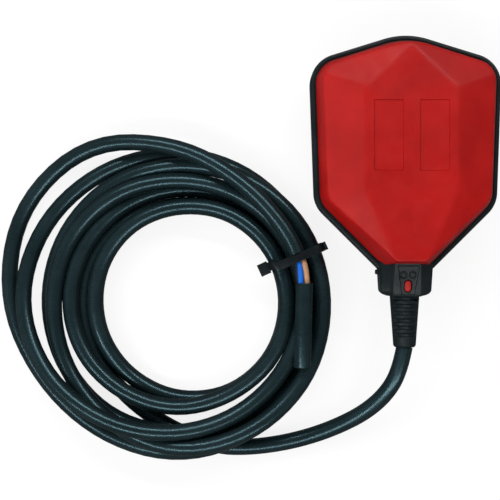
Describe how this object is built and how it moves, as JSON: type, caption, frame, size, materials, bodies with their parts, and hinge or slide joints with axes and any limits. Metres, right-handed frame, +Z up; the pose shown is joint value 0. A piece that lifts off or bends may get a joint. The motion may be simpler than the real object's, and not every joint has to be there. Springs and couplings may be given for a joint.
{
  "type": "cable float switch",
  "caption": "Cable float switch: red faceted float with a black seam seal, ribbed cable boot and a coiled lead held by a tie.",
  "frame": {"origin": "on the surface that the float lies on, under the middle of the float with its boot", "axes": "+Z up out of the float's flat side, +Y from the cable end to the float's apex, +X across the float"},
  "size_m": [0.2185, 0.1854, 0.0415],
  "materials": {
    "shell_red": "moulded polypropylene, semi-gloss",
    "seal_black": "overmoulded elastomer, satin",
    "grommet_rubber": "matt",
    "jacket": "smooth cable jacket, satin",
    "inner_plastic": "natural moulded, matt",
    "switch_plastic": "matt",
    "plunger_plastic": "matt",
    "ball_steel": "polished",
    "lever_steel": "rolled",
    "screw_steel": "zinc plated",
    "terminal_brass": "bright",
    "copper": "bare copper, bright",
    "core_black": "satin",
    "core_blue": "satin",
    "core_brown": "satin",
    "tie_nylon": "satin"
  },
  "bodies": {
    "housing": {"upper_shell": "shell_red", "lower_shell": "shell_red", "seal_collar": "seal_black", "cable_boot": "seal_black", "cable_grommet": "grommet_rubber", "cable_root": "jacket", "cord_clamp": "inner_plastic", "clamp_screws": "screw_steel", "ball_cage": "inner_plastic", "cage_lid": "inner_plastic", "switch_case": "switch_plastic", "switch_cover": "switch_plastic", "lever_pin": "screw_steel", "terminal_common": "terminal_brass", "terminal_nc": "terminal_brass", "terminal_no": "terminal_brass", "tail_blue": "core_blue", "tail_brown": "core_brown", "tail_black": "core_black", "cable_lead": "jacket", "cable_coil": "jacket", "cable_tie": "tie_nylon", "jacket_slug": "jacket", "core_black": "core_black", "core_blue": "core_blue", "core_brown": "core_brown", "conductors": "copper"},
    "ball": {"steel_ball": "ball_steel"},
    "lever": {"switch_lever": "lever_steel"},
    "plunger": {"switch_plunger": "plunger_plastic"}
  },
  "joints": [
    {"name": "ball_roll", "type": "slide", "parent": "housing", "child": "ball", "axis": [0, -1, 0], "range_m": [0, 0.014]},
    {"name": "lever_turn", "type": "hinge", "parent": "housing", "child": "lever", "pos_m": [-0.0006, -0.0075, 0.02075], "axis": [0, 0, -1], "range_deg": [0, 1.75]},
    {"name": "plunger_slide", "type": "slide", "parent": "housing", "child": "plunger", "axis": [1, 0, 0], "range_m": [0, 0.000451]}
  ],
  "couplings": [
    {"joint": "lever_turn", "follows": "ball_roll", "rad_per_m": 2.1643},
    {"joint": "plunger_slide", "follows": "ball_roll", "ratio": 0.0315}
  ]
}
